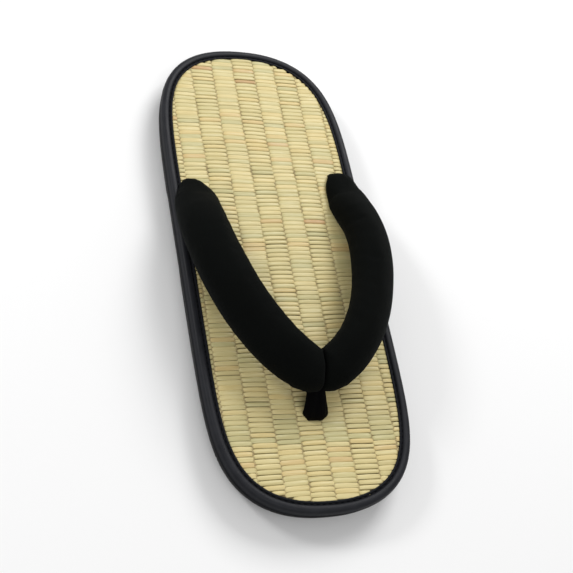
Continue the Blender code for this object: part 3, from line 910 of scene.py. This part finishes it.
# %% [markdown]
# The thread of the seam lies in the furrow. Each stitch is a small capsule that sinks into the tape at both
# ends, a little aslant, as a machine lays it.

# %% Stitches
STITCH_LENGTH = 0.0021
STITCH_HALF = 0.00022
STITCH_SLANT = 0.00022
STITCH_POINTS = 6
SEAM_OUT = 0.00128
SEAM_UP = 5.44 * MM


def build_stitches():
    """One small capsule of thread for each stitch, sunk at both ends, all joined in one mesh."""
    number = round(EDGE_LENGTH / STITCH_STEP)
    middles = (np.arange(number) + 0.5) * EDGE_LENGTH / number
    share = np.array([-0.5, -0.44, -0.3, -0.1, 0.1, 0.3, 0.44, 0.5])
    thick = np.array([0.25, 0.75, 1.0, 1.05, 1.05, 1.0, 0.75, 0.25])
    sink = np.array([-0.34, -0.16, 0.0, 0.04, 0.04, 0.0, -0.16, -0.34]) * MM
    angles = np.radians(np.arange(0, 360, 360 // STITCH_POINTS))
    distances = (middles[:, None] + share[None, :] * STITCH_LENGTH).ravel()
    base, outward = edge_places(distances)
    slant = np.tile(share * STITCH_SLANT, number)
    centre = base + outward * (SEAM_OUT + slant)[:, None]
    height = SOLE_HEIGHT + GAP + SEAM_UP + np.tile(sink, number)
    half = STITCH_HALF * np.tile(thick, number)
    sideways = np.column_stack([outward, np.zeros(len(outward))])
    rings = oval_rings(np.column_stack([centre, height]), sideways, UP, half, half, angles)
    mesh = tubes_mesh("binding_stitches", rings.reshape(number, len(share), STITCH_POINTS, 3))
    print("stitches", number)
    add_piece("binding_stitches", mesh, THREAD, "binding_tape", "edge_binding")


build_stitches()

# %% [markdown]
# The straps are tubes of dull black cotton. Black cloth is never quite black: its nap catches light at a
# low angle, which the shader's sheen gives, and a fine weave breaks up the surface. The weave follows the
# strap, because each point knows how far along and how far round the strap it lies.

# %% Cloth finishes


def thread_bands(recipe, weave, direction, distortion):
    inputs = {"Vector": weave, "Scale": 1.0, "Distortion": distortion}
    return recipe.node("ShaderNodeTexWave", inputs, output="Fac", bands_direction=direction)


def cloth_finish():
    recipe = Recipe("strap_cloth", (0.010, 0.011, 0.011), 0.9)
    spot = recipe.named("cloth_place", "Vector")
    weave = recipe.node("ShaderNodeMapping", {"Vector": spot, "Scale": (2100.0, 2100.0, 1.0)})
    across, around = (thread_bands(recipe, weave, direction, 0.6) for direction in ("X", "Y"))
    threads = recipe.maths("MAXIMUM", across, around)
    place = recipe.place()
    lint = recipe.span(recipe.noise(place, 900.0, detail=6.0, roughness=0.7), 0.62, 0.80)
    worn = recipe.noise(place, 60.0, detail=4.0)
    shade = recipe.mix(worn, (0.0014, 0.0018, 0.0016), (0.0028, 0.0034, 0.0030))
    shade = recipe.mix(recipe.maths("MULTIPLY", lint, 0.22), shade, (0.015, 0.017, 0.016))
    normal = recipe.bump(threads, 0.00006, 0.5)
    normal = recipe.bump(worn, 0.0008, 0.35, below=normal)
    return recipe.finish(
        shade, None, normal,
        Sheen_Weight=0.016, Sheen_Roughness=0.40, Sheen_Tint=(0.80, 0.88, 0.84, 1.0), Specular_IOR_Level=0.05,
    )


def loop_finish():
    recipe = Recipe("toe_loop_cloth", (0.007, 0.007, 0.009), 0.5)
    spot = recipe.named("cloth_place", "Vector")
    weave = recipe.node("ShaderNodeMapping", {"Vector": spot, "Scale": (2600.0, 2600.0, 1.0)})
    rib = thread_bands(recipe, weave, "Y", 0.8)
    worn = recipe.noise(recipe.place(), 300.0, detail=4.0)
    shade = recipe.mix(worn, (0.0007, 0.0007, 0.0010), (0.0018, 0.0017, 0.0022))
    gloss = recipe.span(worn, 0.3, 0.7, 0.48, 0.66)
    return recipe.finish(shade, gloss, recipe.bump(rib, 0.00008, 0.6), Specular_IOR_Level=0.03)


CLOTH = cloth_finish()
LOOP = loop_finish()

# %% [markdown]
# A strap is a wadded tube. Its course comes from nearly the same table as its solid: where the centre line
# runs, how broad and thick the tube is, and how far it is turned. A smooth curve through the rows gives as
# many rings as are wanted.

# %% Course of a strap
STRAP_RISE = 0.0178
STRAP_HALF_WIDTH = 0.0118
STRAP_HALF_THICKNESS = 0.0089
STRAP_SQUARENESS = 2.2
TANG_INSET = 0.00642
TANG_HALF_WIDTH = 0.0043
TANG_DEPTH = 0.0036
BINDING_CREST = 0.0008
LIFT_FROM = 0.60
LIFT_TO = 0.15
STRAP_COLUMNS = ("out", "back", "up", "broad", "thin", "turn")
STRAP_ROWS = np.array([
    (0.768, 0.1780, 0.085, 0.38, 0.24, 0.0),
    (0.770, 0.1675, 0.090, 0.56, 0.38, 0.0),
    (0.776, 0.1538, 0.070, 0.73, 0.54, 0.0),
    (0.797, 0.1361, 0.055, 0.85, 0.70, 0.0),
    (0.816, 0.1190, 0.080, 0.91, 0.86, 1.0),
    (0.814, 0.1029, 0.149, 0.93, 0.97, 4.0),
    (0.815, 0.0684, 0.401, 0.97, 1.00, 13.0),
    (0.810, 0.0299, 0.612, 0.99, 1.01, 20.0),
    (0.785, -0.0152, 0.781, 1.00, 1.01, 26.0),
    (0.729, -0.0675, 0.908, 1.00, 0.99, 32.0),
    (0.646, -0.1199, 0.988, 1.00, 0.97, 36.0),
    (0.543, -0.1650, 1.018, 1.00, 0.95, 37.0),
    (0.422, -0.2021, 1.000, 0.98, 0.93, 36.0),
    (0.283, -0.2324, 0.936, 0.96, 0.91, 33.0),
    (0.126, -0.2562, 0.828, 0.91, 0.89, 30.0),
])


def eased(rows, shares):
    """Rows at these shares of the way through a table, on a smooth curve through its rows."""
    rows = np.vstack([2 * rows[0] - rows[1], rows, 2 * rows[-1] - rows[-2]])
    place = np.clip(shares, 0, 1) * (len(rows) - 3)
    at = np.minimum(place.astype(int), len(rows) - 4)
    t = (place - at)[:, None]
    p0, p1, p2, p3 = (rows[at + k] for k in range(4))
    slope1, slope2 = (p2 - p0) / 2, (p3 - p1) / 2
    near = (2 * t**3 - 3 * t**2 + 1) * p1 + (t**3 - 2 * t**2 + t) * slope1
    return near + (3 * t**2 - 2 * t**3) * p2 + (t**3 - t**2) * slope2


def relaxed(rings, rounds):
    """Evens out a row of rings: each moves half way to its neighbours' middle, the first and last stay."""
    rings = rings.copy()
    for _ in range(rounds):
        rings[1:-1] += ((rings[:-2] + rings[2:]) / 2 - rings[1:-1]) / 2
    return rings


def rest_height(x):
    """Lowest height of a strap over the footbed or, further out, over the binding."""
    over = smooth_step(BED_WIDTH / 2 - LIFT_FROM * RIM, BED_WIDTH / 2 - LIFT_TO * RIM, np.abs(x))
    return FOOTBED_TOP + GAP + over * BINDING_CREST


print("strap table", dict(zip(STRAP_COLUMNS, STRAP_ROWS[0])))

# %% [markdown]
# The two straps are separate tubes that press against each other at the toe, and each ends in a rounded,
# sewn end, so the line between them is a real crease. The other ends are gathered flat and go down into
# slits in the mat. The right strap is worked out, and the left one is its mirror image with its own chance
# and fit.

# %% Rings of a strap
STRAP_RINGS = 150
STRAP_ANGLES = even_angles(64)
JOINT_RINGS = 13
EVEN_ROUNDS = 160
CREASE_AT = 0.0008
CREASE_REACH = 0.012
JOINT_COLUMNS = STRAP_COLUMNS + ("swing",)
JOINT_ROWS = np.array([
    (0.070, -0.2600, 0.800, 0.86, 0.87, 32.0, 0.50),
    (0.036, -0.2605, 0.790, 0.82, 0.81, 33.5, 0.78),
    (0.018, -0.2605, 0.785, 0.78, 0.74, 34.5, 0.92),
    (0.007, -0.2602, 0.780, 0.71, 0.63, 35.0, 1.00),
    (0.001, -0.2600, 0.780, 0.58, 0.47, 35.0, 1.00),
])
TANG_COLUMNS = ("back", "up", "lean", "size")
TANG_ROWS = np.array([
    (0.85, -0.90, 90.0, 0.90),
    (0.85, -0.25, 90.0, 0.94),
    (0.75, 0.10, 65.0, 0.98),
    (0.60, 0.38, 42.0, 1.02),
])


def strap_places(rows):
    return np.column_stack([
        rows[:, 0] * SOLE_WIDTH / 2, rows[:, 1] * SOLE_LENGTH, FOOTBED_TOP + rows[:, 2] * STRAP_RISE,
    ])


def rings_along(rows, directions):
    """Rings for rows of the table, each across its direction and turned down on the outside."""
    flat = unit(np.cross(UP, directions))
    rise = unit(np.cross(directions, flat))
    turn = np.radians(rows[:, 5])[:, None]
    broad, thin = flat * np.cos(turn) - rise * np.sin(turn), flat * np.sin(turn) + rise * np.cos(turn)
    half_width, half_thickness = rows[:, 3] * STRAP_HALF_WIDTH, rows[:, 4] * STRAP_HALF_THICKNESS
    return oval_rings(
        strap_places(rows), broad, thin, half_width, half_thickness, STRAP_ANGLES, STRAP_SQUARENESS
    )


def tang_rings():
    """The gathered end of the right strap, turning down into its slit."""
    start = STRAP_ROWS[0]
    thin = start[4] * STRAP_HALF_THICKNESS
    back, up, lean, size = TANG_ROWS.T
    lean = np.radians(lean)
    out = np.full(len(lean), BED_WIDTH / 2 - TANG_INSET)
    centres = np.column_stack([out, start[1] * SOLE_LENGTH + back * thin, FOOTBED_TOP + up * TANG_DEPTH])
    thin_axes = np.column_stack([np.zeros(len(lean)), np.sin(lean), np.cos(lean)])
    return oval_rings(centres, RIGHT, thin_axes, size * TANG_HALF_WIDTH, size * thin, STRAP_ANGLES)


def right_strap_rings(crease):
    """All rings of the right strap from the gathered end to the crease, which lies at x = `crease`."""
    rows = eased(STRAP_ROWS, np.linspace(0, 1, STRAP_RINGS + 1))
    directions = unit(relaxed(unit(np.gradient(strap_places(rows), axis=0)), EVEN_ROUNDS))
    joint = eased(JOINT_ROWS, np.linspace(0, 1, JOINT_RINGS))
    swing = np.clip(joint[:, 6:7], 0, 1)
    turned = unit(directions[-1] * (1 - swing) - np.array(RIGHT) * swing)
    rings = np.concatenate([tang_rings(), rings_along(rows, directions), rings_along(joint, turned)])
    laid = rings[len(TANG_ROWS):]
    laid[:, :, 2] = np.maximum(laid[:, :, 2], rest_height(laid[:, :, 0]))
    rings[:, :, 0] = np.maximum(rings[:, :, 0], 0.0)
    rings[:, :, 0] += crease * np.exp(-rings[:, :, 0] / CREASE_REACH)
    return rings


print("joint table", dict(zip(JOINT_COLUMNS, JOINT_ROWS[0])))
print("tang table", dict(zip(TANG_COLUMNS, TANG_ROWS[0])))

# %% [markdown]
# Soft ripples are pushed into the tube: pleats that fade out from both sewn ends, short ripples on the
# inside of the bend, and slow lumps of wadding. On the real sandal the two straps were not pulled in quite
# alike, and the table of fits moves each anchor, its tip and the two sides of the tube by a millimetre or
# two to where they sit in the photograph.

# %% Ripples and fit
STRAPS_OFF_MIDDLE = 0.0014
ANCHOR_FITS = {
    1: {
        "back": 0.0012, "tip_back": 0.0019, "tip_out": 0.0, "tip_slim": -0.06, "inner": 0.0021,
        "inner_at": 0.017, "inner_reach": 0.011, "run_in": -0.0004, "run_out": -0.0006,
    },
    -1: {
        "back": -0.0026, "tip_back": -0.0010, "tip_out": 0.0022, "tip_slim": 0.15, "inner": 0.0018,
        "inner_at": 0.013, "inner_reach": 0.008, "run_in": 0.0014, "run_out": 0.0002,
    },
}
ANCHOR_REACH = 0.030
TIP_REACH = 0.006
RUN_START = (0.004, 0.014)
RUN_END = 0.018
SOFTENED_TO = (0.030, 0.022)
SOFTENING_ROUNDS = 40


def cloth_ripples(rings, travel, seed):
    """Moves the points in and out along the way from each ring's centre."""
    angle = STRAP_ANGLES
    way = travel[:, None]
    left = travel[-1] - way
    outward = unit(rings - rings.mean(axis=1, keepdims=True))
    inside = np.clip(-np.cos(angle), 0, 1)
    between = smooth_step(0.01, 0.03, way) * smooth_step(0.0, 0.02, left)
    bend = np.sin(way / 0.00125 + 1.5 * np.sin(angle * 2 + seed))
    push = 0.00026 * np.exp(-way / 0.010) * np.cos(8 * angle + 2.0 * np.sin(way / 0.006) + seed)
    push += 0.00016 * np.exp(-left / 0.009) * np.cos(7 * angle + seed * 2.1)
    push += 0.00005 * inside * bend * between
    push += 0.00009 * np.sin(way / 0.0082 + 2 * np.sin(angle + seed)) * np.cos(angle + way / 0.021)
    push += 0.00003 * np.sin(way / 0.0031 + 3 * np.cos(angle * 2 + seed))
    return rings + outward * push[:, :, None]


def fit_anchor(rings, way, fit):
    """Moves the gathered end and both sides of the tube to where the photograph shows them."""
    way = way[:, None]
    tip = np.exp(-((way / TIP_REACH) ** 2))
    rings[:, :, 1] += fit["back"] * np.exp(-((way / ANCHOR_REACH) ** 2)) + fit["tip_back"] * tip
    middle = rings[:, :, :1].mean(axis=1)
    rings[:, :, 0] += fit["tip_out"] * tip - fit["tip_slim"] * tip * (rings[:, :, 0] - middle)
    inner = fit["inner"] * np.exp(-(((way - fit["inner_at"]) / fit["inner_reach"]) ** 2))
    run = smooth_step(*RUN_START, way) * smooth_step(way[-1], way[-1] - RUN_END, way)
    rings[:, :, 0] -= (inner + fit["run_in"] * run) * np.clip(-np.cos(STRAP_ANGLES), 0, 1)
    rings[:, :, 0] += fit["run_out"] * run * np.clip(np.cos(STRAP_ANGLES), 0, 1)
    fade = smooth_step(*SOFTENED_TO, way)[:, :, None]
    return rings + fade * (relaxed(rings, SOFTENING_ROUNDS) - rings)


print("anchors moved", [round(fit["back"] / MM, 1) for fit in ANCHOR_FITS.values()], "mm back")

# %% [markdown]
# Wadding presses the cloth outwards. The cloth solver does this with pressure from inside, on a copy sixty
# times as large, because it is made for things the size of a coat. Both ends are held, twenty frames are
# enough, and the result is scaled back. The move is capped at a millimetre, so that the outline stays where
# it was fitted. Nothing of the solver stays on the finished piece.

# %% Swelling
SWELL_SCALE = 60.0
SWELL_FRAMES = 20
SWELL_PRESSURE = 1.0
SWELL_EXTRA_CLOTH = 0.02
SWELL_START = 0.0001
SWELL_LIMIT = 0.0010
HELD_RINGS = 6


def swell(rings, loose):
    """Blows the tube up from inside with the cloth solver; `loose` is 0 on the rings that are held."""
    outward = unit(rings - rings.mean(axis=1, keepdims=True))
    start = rings - outward * (SWELL_START * loose)[:, None, None]
    placed = start * SWELL_SCALE
    mesh = tubes_mesh("swelling", [placed])
    piece = bpy.data.objects.new("swelling", mesh)
    bpy.context.scene.collection.objects.link(piece)
    held = HELD_RINGS * rings.shape[1]
    held_points = [*range(held), *range(placed.size // 3 - held, placed.size // 3)]
    piece.vertex_groups.new(name="held").add(held_points, 1.0, "REPLACE")
    cloth = piece.modifiers.new("wadding", "CLOTH")
    cloth.settings.vertex_group_mass = "held"
    cloth.settings.use_pressure = True
    cloth.settings.uniform_pressure_force = SWELL_PRESSURE
    cloth.settings.shrink_min = -SWELL_EXTRA_CLOTH
    cloth.settings.effector_weights.gravity = 0.0
    cloth.collision_settings.use_collision = False
    cloth.point_cache.frame_end = SWELL_FRAMES
    for frame_number in range(1, SWELL_FRAMES + 1):
        bpy.context.scene.frame_set(frame_number)
    swollen = piece.evaluated_get(bpy.context.evaluated_depsgraph_get())
    result = np.empty(placed.size)
    swollen.data.vertices.foreach_get("co", result)
    bpy.context.scene.frame_set(1)
    bpy.data.objects.remove(piece)
    bpy.data.meshes.remove(mesh)
    push = (result.reshape(rings.shape) - placed) / SWELL_SCALE
    far = np.linalg.norm(push, axis=2)
    print("swelling", round(float(np.median(far)) / MM, 3), "mm in the middle of the range, before the cap")
    push *= (loose[:, None] * SWELL_LIMIT / np.hypot(SWELL_LIMIT, far))[:, :, None]
    return start + push


print("pressure", SWELL_PRESSURE, "over", SWELL_FRAMES, "frames")

# %% [markdown]
# Now both straps are made. Each point also keeps how far along and how far round the tube it lies, and the
# weave of the cloth is drawn by these two numbers.

# %% Straps
SWELL_FROM = (0.001, 0.014)
SWELL_TO = 0.010


def cloth_places(rings, travel):
    """How far along and how far round the tube each point lies."""
    round_way = np.linalg.norm(np.diff(rings, axis=1, append=rings[:, :1]), axis=2).cumsum(axis=1)
    along = np.repeat(travel[:, None], rings.shape[1], axis=1)
    return np.stack([along, round_way, np.zeros_like(round_way)], axis=-1).reshape(-1, 3)


def build_strap(name, side, seed):
    rings = right_strap_rings(CREASE_AT * side)
    steps = np.linalg.norm(np.diff(rings.mean(axis=1), axis=0), axis=1)
    travel = np.concatenate([[0.0], np.cumsum(steps)])
    way = np.maximum(0.0, travel - travel[len(TANG_ROWS)])
    rings = fit_anchor(cloth_ripples(rings, travel, seed), way, ANCHOR_FITS[side])
    place = cloth_places(rings, travel)
    loose = smooth_step(*SWELL_FROM, way) * smooth_step(0.0, SWELL_TO, travel[-1] - travel)
    rings = swell(rings, loose)
    rings = rings * [side, 1, 1] + [STRAPS_OFF_MIDDLE, 0, 0]
    mesh = tubes_mesh(name, [rings], flipped=side < 0)
    put_on(mesh, "cloth_place", place)
    strap = add_piece(name, mesh, CLOTH, "strap_cloth", "strap_pair")


build_strap("right_strap", 1, 0.4)
build_strap("left_strap", -1, 2.6)

# %% [markdown]
# The toe loop is a flat loop of softer cloth, folded lengthwise. It comes up out of the mat, leans back and
# goes into the joint of the straps. It is a swept ring like the straps, with small folds that run up its
# front, and it spreads a little where it enters the mat.

# %% Toe loop
POST_HALF_WIDTH = 0.0058
POST_HALF_THICKNESS = 0.0031
POST_SQUARENESS = 2.4
POST_COLUMNS = ("back", "up", "wide", "thick")
POST_ROWS = np.array([
    (-0.3200, -0.200, 0.90, 0.90),
    (-0.3200, -0.060, 0.96, 0.97),
    (-0.3190, 0.050, 1.03, 1.06),
    (-0.3140, 0.170, 0.96, 1.00),
    (-0.3050, 0.290, 0.88, 0.97),
    (-0.2925, 0.430, 0.80, 0.94),
    (-0.2760, 0.590, 0.74, 0.90),
])
POST_OFF_STRAPS = 0.0003
POST_LEAN = -0.0017
POST_RINGS = 60
POST_ANGLES = even_angles(60)
POST_TRAVEL = 0.02
FOLD_DEPTHS = (0.00028, 0.00010)
FOLDS_IN = 0.0001


def build_toe_loop():
    rows = eased(POST_ROWS, np.linspace(0, 1, POST_RINGS + 1))
    off_middle = STRAPS_OFF_MIDDLE + POST_OFF_STRAPS + POST_LEAN * np.linspace(0, 1, len(rows))
    centres = np.column_stack([off_middle, rows[:, 0] * SOLE_LENGTH, FOOTBED_TOP + rows[:, 1] * STRAP_RISE])
    directions = unit(np.gradient(centres, axis=0))
    wide, thick = rows[:, 2] * POST_HALF_WIDTH, rows[:, 3] * POST_HALF_THICKNESS
    thin_axes = np.cross(directions, RIGHT)
    rings = oval_rings(centres, RIGHT, thin_axes, wide, thick, POST_ANGLES, POST_SQUARENESS)
    way = (np.arange(len(rows)) / POST_RINGS)[:, None]
    folds = np.cos(6 * POST_ANGLES + 0.9 * np.sin(5 * way)) * FOLD_DEPTHS[0]
    folds = folds + np.cos(11 * POST_ANGLES - 1.5 * way * 4) * FOLD_DEPTHS[1]
    rings = rings + unit(rings - rings.mean(axis=1, keepdims=True)) * (folds - FOLDS_IN)[:, :, None]
    mesh = tubes_mesh("toe_loop", [rings])
    put_on(mesh, "cloth_place", cloth_places(rings, way[:, 0] * POST_TRAVEL))
    add_piece("toe_loop", mesh, LOOP, "toe_loop_cloth", "toe_post")
    print("toe loop at its foot", dict(zip(POST_COLUMNS, rows[0])))


build_toe_loop()
